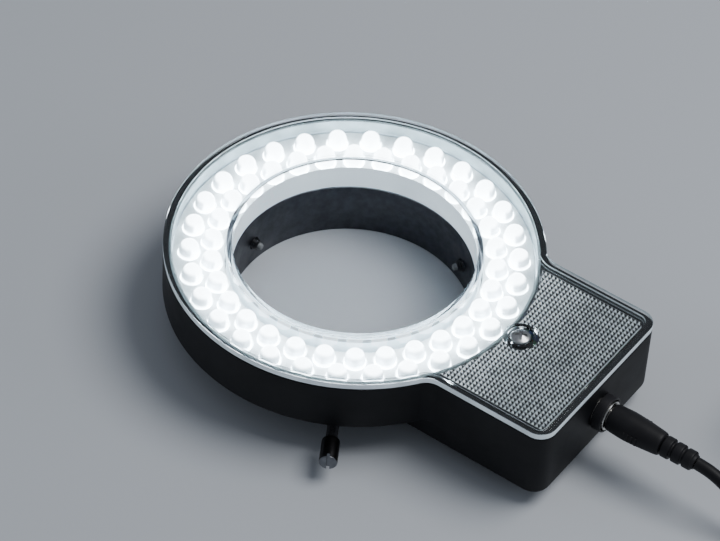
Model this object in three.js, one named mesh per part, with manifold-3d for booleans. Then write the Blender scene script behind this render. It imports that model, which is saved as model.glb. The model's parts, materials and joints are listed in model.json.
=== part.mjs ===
// LED ring light for a stereo microscope, lying lamp face up on its mounting collar.
// Millimetres, +Z up. +X points from the ring towards the driver box and its lead.
// Shapes are drawn round the ring's axis, and the whole group is then moved, so that the
// origin is the middle of the light's footprint at table level (its lead left out).

import * as THREE from 'three';
import { mergeVertices } from 'three/addons/utils/BufferGeometryUtils.js';
import Module from 'manifold-3d';

const wasm = await Module();
wasm.setup();

// ---------------------------------------------------------------- driving dimensions

const GAP = 0.3;                  // left between pieces that touch
const CUT = 1;                    // how far a cutting tool runs past the surface it cuts
const RING_SEGMENTS = 72;
const SMALL_SEGMENTS = 16;

const HEIGHT = 26;                // table to the top of the cover's rim
const RING_RADIUS = 48;
const BOX_HALF_WIDTH = 25.5;
const BOX_END_X = 74.2;
const BOX_CORNER_RADIUS = 4.5;
const NECK_FILLET_RADIUS = 5;     // where the ring runs into the box

const RIM_HEIGHT = 1.9;           // clear edge that stands on the black wall
const RIM_WIDTH = 1.9;
const RIM_Z = HEIGHT - RIM_HEIGHT;
const PLATE_TOP_Z = HEIGHT - 0.5;
const PLATE_THICKNESS = 1;
const COVER_BORE_RADIUS = 30.8;
const COVER_WALL = 1.4;

const COLLAR_RADIUS = 31;         // bore that goes over the objective
const COLLAR_WALL = 3.5;
const COLLAR_HEIGHT = 15.5;
const COLLAR_FLANGE_RADIUS = 38.6;
const COLLAR_FLANGE_THICKNESS = 1;
const COLLAR_SCREW_RADIUS = 36.7;

const RING_FLOOR_Z = 10.4;        // underside of the ring
const RING_FLOOR_THICKNESS = 1.6;
const BOX_FLOOR_Z = 4.7;          // underside of the box
const WALL = 2;
const BOX_THROAT_RADIUS = 37;     // round wall that closes the box beside the collar

const BOARD_THICKNESS = 1.6;
const LED_BOARD_Z = 14;
const LED_BOARD_INNER_RADIUS = 32.6;
const LED_BOARD_OUTER_RADIUS = 45.6;
const LED_COUNT = 30;             // in each of the two rows
const LED_RADIUS = 2.5;
const LED_BODY_HEIGHT = 5.9;
const LED_HEIGHT = 8.3;
const LED_TILT = THREE.MathUtils.degToRad(8);
const LED_ROWS = {                // radius of each row, and the angle of its first LED
  outer: { radius: 42.2, firstAngle: 0 },
  inner: { radius: 36.7, firstAngle: Math.PI / LED_COUNT },
};
const LED_HOLDER_BOTTOM_Z = 17.8;
const LED_HOLDER_TOP_Z = 20.5;

const COVER_SCREW_X = 50;
const COVER_SCREW_HEAD_RADIUS = 2.6;
const SCREW_WELL_FLOOR_Z = 23.9;

const THUMB_SCREW_Z = 6.6;
const THUMB_SCREWS = [            // angle in degrees, and how far each is screwed in
  { angle: -60, depth: 0 },
  { angle: 60, depth: 3.6 },
  { angle: 180, depth: 3.6 },
];
const THUMB_SCREW_RADIUS = 1.5;
const THUMB_HEAD_RADIUS = 2.3;
const THUMB_HEAD_START = 49.2;    // distances from the ring's axis at no depth
const THUMB_HEAD_END = 56.6;
const THUMB_SHANK_START = 33.3;
const THUMB_TIP_START = 32;

const JACK_Z = 14.8;
const JACK_END_X = 77.6;
const JACK_NECK_RADIUS = 3.9;
const BARREL_RADIUS = 2.75;       // 5.5 mm barrel plug
const PIN_RADIUS = 1.05;          // 2.1 mm centre pin

const POT_X = 62;
const POT_Y = -13;
const POT_SHAFT_RADIUS = 1.5;
const KNOB_RADIUS = 6.5;
const KNOB_BOTTOM_Z = 0.6;

const DRIVER_BOARD = { x0: 41, x1: 70, y0: 5.8, y1: 22.8, z: 8.2 };
const DRIVER_SCREW_XS = [43.5, 67.5];
const DRIVER_SCREW_Y = 20.2;

const CORD_RADIUS = 1.65;
const PLUG_END_X = 92.6;
const RELIEF_END_X = 102;

const COIL_CENTRE = new THREE.Vector2(167.5, -4);
const COIL_MIDDLE_RADIUS = 19.4;
const COIL_COLUMNS = 3;           // turns side by side
const COIL_LAYERS = 4;            // turns on top of each other

const ADAPTER = { x0: 108, x1: 166, y0: 28, y1: 68, seamZ: 17, topZ: 28, corner: 5 };
const ADAPTER_CORD_Y = 48;
const ADAPTER_CORD_Z = 6;
const BLADE = { spacing: 12.7, width: 6.4, thickness: 1.5, topZ: 45 };

// ---------------------------------------------------------------- materials

const material = (color, roughness, metalness = 0, extra = {}) =>
  new THREE.MeshStandardMaterial({ color, roughness, metalness, ...extra });

const BLACK_PLASTIC = material(0x15161a, 0.45);
const BLACK_METAL = material(0x1a1b1e, 0.4, 0.6);
const CLEAR_PLASTIC = material(0xdfe8ea, 0.08, 0, { transparent: true, opacity: 0.35 });
const LED_RESIN = material(0xf4f8ff, 0.1);
const WHITE_BOARD = material(0xe9ece8, 0.5);
const GREEN_BOARD = material(0x1d5a35, 0.5);
const STEEL = material(0xb8bcc0, 0.3, 1);
const NYLON = material(0xe8e4d6, 0.6);
const SOFT_PVC = material(0x0d0d0f, 0.55);
const COPPER = material(0x9a5a2c, 0.5, 0.5);
const ALUMINIUM_CAN = material(0x2b3a66, 0.4);
const RED_WIRE = material(0xa01818, 0.5);
const BLACK_WIRE = material(0x101010, 0.5);

// ---------------------------------------------------------------- solids and booleans

function toSolid(geometry) {
  const bare = geometry.index ? geometry.toNonIndexed() : geometry.clone();
  bare.deleteAttribute('normal');
  bare.deleteAttribute('uv');
  const merged = mergeVertices(bare, 1e-4);
  const solid = new wasm.Manifold(new wasm.Mesh({
    numProp: 3,
    vertProperties: new Float32Array(merged.attributes.position.array),
    triVerts: new Uint32Array(merged.index.array),
  }));
  return solid;
}

function toGeometry(solid) {
  const mesh = solid.getMesh();
  const geometry = new THREE.BufferGeometry();
  const positions = new Float32Array(mesh.numVert * 3);
  for (let vertex = 0; vertex < mesh.numVert; vertex += 1) {
    for (let axis = 0; axis < 3; axis += 1) {
      positions[vertex * 3 + axis] = mesh.vertProperties[vertex * mesh.numProp + axis];
    }
  }
  geometry.setAttribute('position', new THREE.BufferAttribute(positions, 3));
  geometry.setIndex(new THREE.BufferAttribute(new Uint32Array(mesh.triVerts), 1));
  geometry.computeVertexNormals();
  return geometry;
}

const join = (...geometries) =>
  toGeometry(geometries.map(toSolid).reduce((whole, next) => whole.add(next)));

const cut = (geometry, ...tools) =>
  toGeometry(tools.map(toSolid).reduce((whole, tool) => whole.subtract(tool), toSolid(geometry)));

// A solid of revolution about +Z. The profile lists [radius, z] points.
function turned(profile, segments = SMALL_SEGMENTS) {
  const points = profile.map(([radius, z]) => new THREE.Vector2(radius, z));
  return new THREE.LatheGeometry(points, segments).rotateX(Math.PI / 2);
}

function rod(radius, z0, z1, segments = SMALL_SEGMENTS) {
  return turned([[0, z0], [radius, z0], [radius, z1], [0, z1]], segments);
}

function pipe(innerRadius, outerRadius, z0, z1, segments = SMALL_SEGMENTS) {
  const profile = [[innerRadius, z0], [outerRadius, z0], [outerRadius, z1], [innerRadius, z1]];
  return turned([...profile, profile[0]], segments);
}

function block(x0, x1, y0, y1, z0, z1) {
  return new THREE.BoxGeometry(x1 - x0, y1 - y0, z1 - z0)
    .translate((x0 + x1) / 2, (y0 + y1) / 2, (z0 + z1) / 2);
}

function extruded(points, z0, z1) {
  const options = { depth: z1 - z0, bevelEnabled: false };
  return new THREE.ExtrudeGeometry(new THREE.Shape(points), options).translate(0, 0, z0);
}

// A round solid along +Z laid along +X at the height of the socket.
const alongSocket = (geometry) => geometry.rotateY(Math.PI / 2).translate(0, 0, JACK_Z);

// A round solid along +Z laid along the outward radius of the ring at an angle in degrees.
const alongRadius = (geometry, degrees) =>
  geometry.rotateY(Math.PI / 2)
    .rotateZ(THREE.MathUtils.degToRad(degrees))
    .translate(0, 0, THUMB_SCREW_Z);

// A round cable or wire of the given radius along a smooth curve through points.
function cable(points, radius, sides, steps) {
  const section = new THREE.Shape(arc(0, 0, radius, 0, 2 * Math.PI, sides).slice(0, -1));
  const path = new THREE.CatmullRomCurve3(points.map((point) => new THREE.Vector3(...point)));
  return new THREE.ExtrudeGeometry(section, { steps, extrudePath: path, bevelEnabled: false });
}

// ---------------------------------------------------------------- outlines

// Points along an arc, both ends included. A negative sweep runs clockwise.
function arc(x, y, radius, from, to, steps) {
  return Array.from({ length: steps + 1 }, (_, index) => {
    const angle = from + ((to - from) * index) / steps;
    return new THREE.Vector2(x + radius * Math.cos(angle), y + radius * Math.sin(angle));
  });
}

// The end of the box, from its lower to its upper long side, with rounded corners.
function boxEnd(inset) {
  const radius = BOX_CORNER_RADIUS - inset > 0.5 ? BOX_CORNER_RADIUS - inset : 0.5;
  const x = BOX_END_X - inset - radius;
  const y = BOX_HALF_WIDTH - inset - radius;
  const quarter = Math.PI / 2;
  return [...arc(x, -y, radius, -quarter, 0, 6), ...arc(x, y, radius, 0, quarter, 6)];
}

// The whole light seen from above, moved inwards by inset: the ring, the box and the two
// hollow fillets between them.
function lightOutline(inset) {
  const ringRadius = RING_RADIUS - inset;
  const filletRadius = NECK_FILLET_RADIUS + inset;
  const filletY = BOX_HALF_WIDTH + NECK_FILLET_RADIUS;
  const filletX = Math.sqrt((RING_RADIUS + NECK_FILLET_RADIUS) ** 2 - filletY ** 2);
  const meeting = Math.atan2(filletY, filletX);
  const fillet = arc(filletX, filletY, filletRadius, -Math.PI / 2, meeting - Math.PI, 6);
  const ring = arc(0, 0, ringRadius, meeting, 2 * Math.PI - meeting, RING_SEGMENTS);
  const lowerFillet = fillet.map((point) => new THREE.Vector2(point.x, -point.y)).reverse();
  return [...boxEnd(inset), ...fillet, ...ring.slice(1, -1), ...lowerFillet];
}

// The deep part of the box below the ring, closed by a round wall beside the collar.
function boxOutline(inset) {
  const radius = BOX_THROAT_RADIUS + inset;
  const halfAngle = Math.asin((BOX_HALF_WIDTH - inset) / radius);
  return [...boxEnd(inset), ...arc(0, 0, radius, halfAngle, -halfAngle, 16)];
}

// ---------------------------------------------------------------- housing and cover

function housingShell() {
  const top = RIM_Z - GAP / 2;
  const ringFloorTop = RING_FLOOR_Z + RING_FLOOR_THICKNESS;
  const boxFloorTop = BOX_FLOOR_Z + WALL;
  const outside = join(
    extruded(lightOutline(0), RING_FLOOR_Z, top),
    extruded(boxOutline(0), BOX_FLOOR_Z, RING_FLOOR_Z + CUT),
  );
  const hollow = cut(
    outside,
    extruded(lightOutline(WALL), ringFloorTop, top + CUT),
    extruded(boxOutline(WALL), boxFloorTop, ringFloorTop + CUT),
    rod(COLLAR_RADIUS + COLLAR_WALL + GAP, BOX_FLOOR_Z, top, RING_SEGMENTS),
  );
  const boardPosts = [60, 120, 180, 240, 300].map((degrees) => {
    const angle = THREE.MathUtils.degToRad(degrees);
    return rod(1.6, ringFloorTop - CUT / 2, LED_BOARD_Z - GAP, 12)
      .translate(43.5 * Math.cos(angle), 43.5 * Math.sin(angle), 0);
  });
  const driverPosts = DRIVER_SCREW_XS.map((x) =>
    rod(2.2, boxFloorTop - CUT / 2, DRIVER_BOARD.z - GAP, 16).translate(x, DRIVER_SCREW_Y, 0));
  const coverBoss = rod(3.2, boxFloorTop - CUT / 2, SCREW_WELL_FLOOR_Z - 1 - GAP)
    .translate(COVER_SCREW_X, 0, 0);
  return cut(
    join(hollow, ...boardPosts, ...driverPosts, coverBoss),
    rod(1.5, 12, HEIGHT, 16).translate(COVER_SCREW_X, 0, 0),
    alongSocket(rod(JACK_NECK_RADIUS + GAP, BOX_END_X - WALL - CUT, BOX_END_X + CUT)),
    rod(3.7, BOX_FLOOR_Z - CUT, boxFloorTop + CUT).translate(POT_X, POT_Y, 0),
    ...DRIVER_SCREW_XS.map((x) => rod(1.2, 7, 10, 12).translate(x, DRIVER_SCREW_Y, 0)),
    ...collarScrewPlaces(() => rod(1.3, 10.8, 13, 12)),
  );
}

// The same piece at the three places of the screws that hold the collar.
function collarScrewPlaces(makePiece) {
  return [0, 120, 240].map((degrees) =>
    makePiece().translate(COLLAR_SCREW_RADIUS, 0, 0)
      .rotateZ(THREE.MathUtils.degToRad(degrees)));
}

function mountingCollar() {
  const outerRadius = COLLAR_RADIUS + COLLAR_WALL;
  const flangeBottom = RING_FLOOR_Z + RING_FLOOR_THICKNESS + GAP;
  const flangeTop = flangeBottom + COLLAR_FLANGE_THICKNESS;
  // Above the flange the wall is thin enough to stand inside the board.
  const neckRadius = LED_BOARD_INNER_RADIUS - GAP;
  const profile = [
    [COLLAR_RADIUS, 0], [outerRadius, 0], [outerRadius, flangeBottom],
    [COLLAR_FLANGE_RADIUS, flangeBottom], [COLLAR_FLANGE_RADIUS, flangeTop],
    [neckRadius, flangeTop], [neckRadius, COLLAR_HEIGHT], [COLLAR_RADIUS, COLLAR_HEIGHT],
  ];
  return cut(
    turned([...profile, profile[0]], RING_SEGMENTS),
    ...THUMB_SCREWS.map(({ angle }) =>
      alongRadius(rod(THUMB_SCREW_RADIUS + GAP, COLLAR_RADIUS - CUT, outerRadius + CUT), angle)),
    ...collarScrewPlaces(() => rod(1.3, 11, 15, 12)),
  );
}

function collarScrew() {
  return turned([[0, 11.1], [1, 11.1], [1, 13.6], [1.8, 13.6], [1.5, 13.9], [0, 13.9]], 12);
}

function clearCover() {
  const rimBottom = RIM_Z + GAP / 2;
  const plateBottom = PLATE_TOP_Z - PLATE_THICKNESS;
  const wallRadius = COVER_BORE_RADIUS + COVER_WALL;
  const wellOuter = 4.3;
  const lip = rod(wallRadius, RIM_Z, HEIGHT, RING_SEGMENTS);
  const recess = cut(extruded(lightOutline(RIM_WIDTH), PLATE_TOP_Z, HEIGHT + CUT), lip);
  const relief = extruded(lightOutline(RIM_WIDTH + GAP), RIM_Z - CUT, plateBottom);
  const sheet = cut(extruded(lightOutline(0), rimBottom, HEIGHT), recess, relief);
  const innerWall = rod(wallRadius, COLLAR_HEIGHT + GAP, PLATE_TOP_Z, RING_SEGMENTS);
  const well = rod(wellOuter, SCREW_WELL_FLOOR_Z - 1, PLATE_TOP_Z).translate(COVER_SCREW_X, 0, 0);
  return cut(
    join(sheet, innerWall, well),
    rod(COVER_BORE_RADIUS, COLLAR_HEIGHT - CUT, HEIGHT + CUT, RING_SEGMENTS),
    rod(3.3, SCREW_WELL_FLOOR_Z, HEIGHT).translate(COVER_SCREW_X, 0, 0),
    rod(1.8, SCREW_WELL_FLOOR_Z - 2, HEIGHT).translate(COVER_SCREW_X, 0, 0),
  );
}

function coverScrew() {
  const headBottom = SCREW_WELL_FLOOR_Z + GAP;
  const head = turned([
    [0, 14], [1.2, 14], [1.2, headBottom], [COVER_SCREW_HEAD_RADIUS, headBottom],
    [COVER_SCREW_HEAD_RADIUS, headBottom + 0.9], [1.9, headBottom + 1.5], [0, headBottom + 1.7],
  ]);
  const slot = (length, width) =>
    block(-length / 2, length / 2, -width / 2, width / 2, headBottom + 0.7, HEIGHT + CUT);
  return cut(head, slot(2.8, 0.6), slot(0.6, 2.8));
}

// ---------------------------------------------------------------- LEDs and electronics

const LED_BASE_Z = LED_BOARD_Z + BOARD_THICKNESS + GAP;

// The same piece at each LED of a row, leaning towards the ring's axis.
function leaning({ radius, firstAngle }, makePiece) {
  const step = (2 * Math.PI) / LED_COUNT;
  return Array.from({ length: LED_COUNT }, (_, index) =>
    makePiece().rotateY(-LED_TILT)
      .translate(radius, 0, LED_BASE_Z + LED_RADIUS * Math.sin(LED_TILT))
      .rotateZ(firstAngle + index * step));
}

// Thirty LEDs on the moulded strip that spaces them.
function ledRow(row) {
  const leds = leaning(row, () => turned([
    [0, 0], [LED_RADIUS, 0], [LED_RADIUS, LED_BODY_HEIGHT],
    [LED_RADIUS * 0.62, LED_HEIGHT - 0.5], [0, LED_HEIGHT],
  ], 6));
  const strip = pipe(row.radius - 1, row.radius + 1, LED_BASE_Z + 0.4, LED_BASE_Z + 1.6, LED_COUNT);
  return join(strip, ...leds);
}

// The white ring that keeps every LED at its lean, with a hole for each one.
function ledHolder() {
  const ring = pipe(LED_BOARD_INNER_RADIUS, LED_BOARD_OUTER_RADIUS,
    LED_HOLDER_BOTTOM_Z, LED_HOLDER_TOP_Z, RING_SEGMENTS);
  const holes = Object.values(LED_ROWS).flatMap((row) =>
    leaning(row, () => rod(LED_RADIUS + GAP, 0, LED_HEIGHT, 8)));
  return cut(ring, ...holes);
}

function ledBoard() {
  const top = LED_BOARD_Z + BOARD_THICKNESS;
  return pipe(LED_BOARD_INNER_RADIUS, LED_BOARD_OUTER_RADIUS, LED_BOARD_Z, top, RING_SEGMENTS);
}

function driverBoard() {
  const { x0, x1, y0, y1, z } = DRIVER_BOARD;
  const holes = DRIVER_SCREW_XS.map((x) => rod(1.2, z - CUT, z + BOARD_THICKNESS + CUT, 12)
    .translate(x, DRIVER_SCREW_Y, 0));
  return cut(block(x0, x1, y0, y1, z, z + BOARD_THICKNESS), ...holes);
}

function driverBoardScrew() {
  const seat = DRIVER_BOARD.z + BOARD_THICKNESS + GAP;
  return turned([[0, 7.3], [0.9, 7.3], [0.9, seat], [1.8, seat], [1.8, seat + 1], [0, seat + 1.3]], 12);
}

const PARTS_Z = DRIVER_BOARD.z + BOARD_THICKNESS + GAP;    // where the board's parts stand

const filterCapacitor = () => turned([
  [0, PARTS_Z], [4, PARTS_Z], [4, PARTS_Z + 8.2], [3.7, PARTS_Z + 8.5], [0, PARTS_Z + 8.5],
], 16);

const inductor = () => join(
  pipe(1.8, 4, PARTS_Z, PARTS_Z + 1, 16),
  pipe(1.8, 2.8, PARTS_Z + 0.5, PARTS_Z + 4.5, 16),
  pipe(1.8, 4, PARTS_Z + 4, PARTS_Z + 5, 16),
);

const driverChip = () => block(-2.5, 2.5, -2, 2, PARTS_Z, PARTS_Z + 1.6);

const senseResistor = () => block(-1.6, 1.6, -0.8, 0.8, PARTS_Z, PARTS_Z + 0.7);

// ---------------------------------------------------------------- dimmer

const POT_BODY_Z = BOX_FLOOR_Z + WALL + GAP;
const SHAFT_TOP_Z = POT_BODY_Z + 2;

function dimmerPotentiometer() {
  const body = turned([
    [0, POT_BODY_Z], [6, POT_BODY_Z], [6, POT_BODY_Z + 5.5], [5.5, POT_BODY_Z + 6],
    [0, POT_BODY_Z + 6],
  ]);
  return cut(
    join(body, rod(3.4, BOX_FLOOR_Z + GAP, POT_BODY_Z + CUT)),
    rod(POT_SHAFT_RADIUS + GAP, BOX_FLOOR_Z - CUT, SHAFT_TOP_Z + GAP),
  );
}

const dimmerShaft = () => rod(POT_SHAFT_RADIUS, KNOB_BOTTOM_Z + 1.2, SHAFT_TOP_Z);

function dimmerKnob() {
  const top = BOX_FLOOR_Z - GAP;
  const gripCount = 16;
  const grips = Array.from({ length: gripCount }, (_, index) => {
    const angle = (2 * Math.PI * index) / gripCount;
    return rod(0.6, KNOB_BOTTOM_Z - CUT, top + CUT, 6)
      .translate(KNOB_RADIUS * Math.cos(angle), KNOB_RADIUS * Math.sin(angle), 0);
  });
  return cut(
    rod(KNOB_RADIUS, KNOB_BOTTOM_Z, top, gripCount * 2),
    rod(POT_SHAFT_RADIUS + GAP, KNOB_BOTTOM_Z + 0.9, top + CUT),
    block(2.4, KNOB_RADIUS - 1, -0.3, 0.3, KNOB_BOTTOM_Z - CUT, KNOB_BOTTOM_Z + 0.3),
    ...grips,
  );
}

// ---------------------------------------------------------------- thumb screws

function thumbScrew() {
  const screw = turned([
    [0, THUMB_SHANK_START], [THUMB_SCREW_RADIUS, THUMB_SHANK_START],
    [THUMB_SCREW_RADIUS, THUMB_HEAD_START], [THUMB_HEAD_RADIUS - 0.5, THUMB_HEAD_START],
    [THUMB_HEAD_RADIUS, THUMB_HEAD_START + 0.6], [THUMB_HEAD_RADIUS, THUMB_HEAD_END - 0.3],
    [THUMB_HEAD_RADIUS - 0.3, THUMB_HEAD_END], [0, THUMB_HEAD_END],
  ]);
  return cut(screw, block(-3, 3, -0.4, 0.4, THUMB_HEAD_END - 1, THUMB_HEAD_END + CUT));
}

function thumbScrewTip() {
  const end = THUMB_SHANK_START - GAP;
  return turned([
    [0, THUMB_TIP_START], [0.9, THUMB_TIP_START], [1.2, THUMB_TIP_START + 0.3],
    [1.2, end], [0, end],
  ], 16);
}

// ---------------------------------------------------------------- power socket and plug

function jackBody() {
  const back = 60;
  const wall = BOX_END_X - WALL - GAP;
  return alongSocket(cut(
    join(rod(5, back, wall), rod(JACK_NECK_RADIUS, wall - CUT, JACK_END_X)),
    rod(BARREL_RADIUS + GAP, 66, JACK_END_X + CUT),
    rod(PIN_RADIUS + GAP, 63, 67, 16),
  ));
}

const jackPin = () => alongSocket(rod(PIN_RADIUS, 63.3, JACK_END_X - 1.5, 12));

const jackNut = () => alongSocket(
  pipe(JACK_NECK_RADIUS + GAP, 4.75, BOX_END_X + GAP, JACK_END_X - GAP));

const plugBarrel = () => alongSocket(
  pipe(PIN_RADIUS + GAP, BARREL_RADIUS, 67.5, JACK_END_X + 2));

function plugBody() {
  const start = JACK_END_X + GAP;
  const outside = turned([
    [0, start], [3.5, start], [3.65, start + 0.5], [3.85, start + 5], [3.6, start + 9],
    [3.1, PLUG_END_X - 0.3], [2.8, PLUG_END_X], [0, PLUG_END_X],
  ]);
  return alongSocket(cut(outside, rod(BARREL_RADIUS + GAP, start - CUT, JACK_END_X + 2 + GAP)));
}

// Three ribs that get smaller towards the cord, on a neck just thicker than it.
function strainRelief() {
  const start = PLUG_END_X + GAP;
  const pitch = (RELIEF_END_X - start) / 3;
  const neck = 2.1;
  const ribs = [0, 1, 2].flatMap((index) => {
    const from = start + index * pitch;
    const radius = 2.8 - index * 0.2;
    return [[neck, from], [radius, from + 0.4], [radius, from + pitch - 0.9], [neck, from + pitch - 0.5]];
  });
  return alongSocket(turned([[0, start], ...ribs, [neck, RELIEF_END_X], [0, RELIEF_END_X]]));
}

// ---------------------------------------------------------------- lead and adapter

const COIL_PITCH = 2 * CORD_RADIUS;

// From the strain relief down to the table and up to the coil's outer turn.
const NEAR_ROUTE = [
  [102.3, 0, 14.8], [106, 0, 14.4], [110, -0.1, 13.1], [114.5, -0.4, 10.6],
  [119, -1, 7.4], [123.5, -2.2, 4.5], [128, -4, 2.4], [132.5, -6.2, 1.65],
  [137, -8.8, 1.65], [141.5, -11.9, 1.65],
];

// From the top of the coil down to the table and round into the adapter.
const FAR_ROUTE = [
  [191.3, 9.5, 10.6], [192.1, 15, 8.2], [192.6, 21, 5], [192.7, 27, 2.8],
  [192.3, 33, 1.9], [190.9, 39, 2], [187.8, 44, 3.2], [183.4, 47.3, 5.2], [178.8, 48, 6],
];

const leadCordNear = () => cable(NEAR_ROUTE, CORD_RADIUS, 8, 10);

const leadCordFar = () => cable(FAR_ROUTE, CORD_RADIUS, 8, 9);

function leadCoil() {
  const halfWidth = (COIL_PITCH * COIL_COLUMNS) / 2;
  const ring = pipe(COIL_MIDDLE_RADIUS - halfWidth, COIL_MIDDLE_RADIUS + halfWidth,
    0, COIL_PITCH * COIL_LAYERS, 32);
  return ring.translate(COIL_CENTRE.x, COIL_CENTRE.y, 0);
}

function adapterOutline() {
  const { x0, x1, y0, y1, corner } = ADAPTER;
  const quarter = Math.PI / 2;
  const corners = [
    [x1 - corner, y0 + corner, -quarter], [x1 - corner, y1 - corner, 0],
    [x0 + corner, y1 - corner, quarter], [x0 + corner, y0 + corner, 2 * quarter],
  ];
  return corners.flatMap(([x, y, from]) => arc(x, y, corner, from, from + quarter, 5));
}

const adapterBase = () => extruded(adapterOutline(), 0, ADAPTER.seamZ);

const adapterTop = () => extruded(adapterOutline(), ADAPTER.seamZ + GAP, ADAPTER.topZ);

function adapterBlade(side) {
  const x = (ADAPTER.x0 + ADAPTER.x1) / 2 + 12 + side * BLADE.spacing / 2;
  const y = (ADAPTER.y0 + ADAPTER.y1) / 2;
  return block(x - BLADE.thickness / 2, x + BLADE.thickness / 2,
    y - BLADE.width / 2, y + BLADE.width / 2, ADAPTER.topZ + GAP, BLADE.topZ);
}

function adapterRelief() {
  const length = 178 - ADAPTER.x1 - GAP;
  return turned([[0, 0], [3.4, 0], [2.2, length], [0, length]], 16)
    .rotateY(Math.PI / 2)
    .translate(ADAPTER.x1 + GAP, ADAPTER_CORD_Y, ADAPTER_CORD_Z);
}

// ---------------------------------------------------------------- wires inside the box

const WIRE_RADIUS = 0.6;
const wire = (points) => cable(points, WIRE_RADIUS, 6, 14);

const socketWire = (y, shift) => wire([
  [59.6, y, 14.8], [57.5 - shift, y + 0.5, 14.2], [56 - shift, y + 3, 12.5],
  [55.2 - shift, 6.8, 11.2], [55 - shift, 8.4, 10.9],
]);

const ledWire = (y) => wire([
  [44.2, y, 10.8], [44, y + 0.1, 11.6], [43.2, y + 0.3, 12.5], [42.4, y + 0.5, 13],
]);

const dimmerWires = () => wire([
  [62, -5.8, 9], [63, -3, 8.3], [63.5, 0, 8], [63, 3, 8.3], [62.6, 5.2, 8.9],
]);

// ---------------------------------------------------------------- assembly

const light = new THREE.Group();

function place(name, geometry, finish, position = [0, 0, 0]) {
  const mesh = new THREE.Mesh(geometry, finish);
  mesh.name = name;
  mesh.position.set(...position);
  light.add(mesh);
}

place('housing_shell', housingShell(), BLACK_PLASTIC);
place('mounting_collar', mountingCollar(), BLACK_METAL);
collarScrewPlaces(collarScrew).forEach((screw, index) =>
  place(`collar_screw_${index + 1}`, screw, STEEL));
place('clear_cover', clearCover(), CLEAR_PLASTIC);
place('cover_screw', coverScrew(), STEEL, [COVER_SCREW_X, 0, 0]);

place('led_board', ledBoard(), WHITE_BOARD);
place('led_row_outer', ledRow(LED_ROWS.outer), LED_RESIN);
place('led_row_inner', ledRow(LED_ROWS.inner), LED_RESIN);
place('led_holder', ledHolder(), WHITE_BOARD);

place('driver_board', driverBoard(), GREEN_BOARD);
DRIVER_SCREW_XS.forEach((x, index) =>
  place(`driver_board_screw_${index + 1}`, driverBoardScrew(), STEEL, [x, DRIVER_SCREW_Y, 0]));
place('filter_capacitor', filterCapacitor(), ALUMINIUM_CAN, [49, 16, 0]);
place('inductor', inductor(), COPPER, [58.5, 16, 0]);
place('driver_chip', driverChip(), BLACK_PLASTIC, [66, 13, 0]);
place('sense_resistor', senseResistor(), BLACK_PLASTIC, [66, 8.5, 0]);

place('dimmer_potentiometer', dimmerPotentiometer(), BLACK_PLASTIC, [POT_X, POT_Y, 0]);
place('dimmer_shaft', dimmerShaft(), STEEL, [POT_X, POT_Y, 0]);
place('dimmer_knob', dimmerKnob(), BLACK_PLASTIC, [POT_X, POT_Y, 0]);

THUMB_SCREWS.forEach(({ angle, depth }, index) => {
  const inwards = (geometry) => alongRadius(geometry.translate(0, 0, -depth), angle);
  place(`thumb_screw_${index + 1}`, inwards(thumbScrew()), BLACK_METAL);
  place(`thumb_screw_tip_${index + 1}`, inwards(thumbScrewTip()), NYLON);
});

place('jack_body', jackBody(), BLACK_PLASTIC);
place('jack_pin', jackPin(), STEEL);
place('jack_nut', jackNut(), BLACK_PLASTIC);
place('jack_wire_red', socketWire(1.8, 0), RED_WIRE);
place('jack_wire_black', socketWire(-1.2, 1.8), BLACK_WIRE);
place('led_wire_red', ledWire(10), RED_WIRE);
place('led_wire_black', ledWire(13), BLACK_WIRE);
place('dimmer_wire', dimmerWires(), RED_WIRE);

// Everything so far is the light itself, so its footprint gives the origin.
const footprint = new THREE.Box3().setFromObject(light, true).getCenter(new THREE.Vector3());
light.position.set(-footprint.x, -footprint.y, 0);

place('plug_barrel', plugBarrel(), STEEL);
place('plug_body', plugBody(), SOFT_PVC);
place('strain_relief', strainRelief(), SOFT_PVC);
place('lead_cord_near', leadCordNear(), SOFT_PVC);
place('lead_coil', leadCoil(), SOFT_PVC);
place('lead_cord_far', leadCordFar(), SOFT_PVC);
place('adapter_relief', adapterRelief(), SOFT_PVC);
place('adapter_base', adapterBase(), BLACK_PLASTIC);
place('adapter_top', adapterTop(), BLACK_PLASTIC);
place('adapter_blade_1', adapterBlade(-1), STEEL);
place('adapter_blade_2', adapterBlade(1), STEEL);

export default light;
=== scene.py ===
"""LED ring light for a stereo microscope, lying lamp face up with its lead plugged in.

Shapes are drawn in millimetres round the ring's axis, +X towards the driver box, and
as_mesh moves them into the frame, which is in metres.
"""
import json
import math

import bpy
from mathutils import Matrix, Quaternion, Vector


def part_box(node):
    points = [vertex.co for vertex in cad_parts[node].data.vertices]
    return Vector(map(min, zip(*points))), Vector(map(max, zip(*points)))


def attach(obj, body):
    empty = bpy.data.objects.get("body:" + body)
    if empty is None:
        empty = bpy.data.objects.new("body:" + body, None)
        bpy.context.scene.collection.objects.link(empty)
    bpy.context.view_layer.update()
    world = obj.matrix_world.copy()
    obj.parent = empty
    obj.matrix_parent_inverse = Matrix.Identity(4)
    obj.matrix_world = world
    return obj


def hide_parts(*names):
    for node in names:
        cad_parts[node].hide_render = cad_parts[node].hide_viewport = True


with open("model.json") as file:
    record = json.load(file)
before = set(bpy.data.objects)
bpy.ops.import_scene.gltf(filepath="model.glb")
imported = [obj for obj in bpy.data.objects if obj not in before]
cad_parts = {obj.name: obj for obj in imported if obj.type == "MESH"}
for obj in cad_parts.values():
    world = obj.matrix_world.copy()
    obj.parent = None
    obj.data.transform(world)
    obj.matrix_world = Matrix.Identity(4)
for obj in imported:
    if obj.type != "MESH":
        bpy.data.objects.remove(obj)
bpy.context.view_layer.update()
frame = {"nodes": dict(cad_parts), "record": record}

MM = 0.001
ring_low, ring_high = map(Vector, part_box("mounting_collar"))
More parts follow.
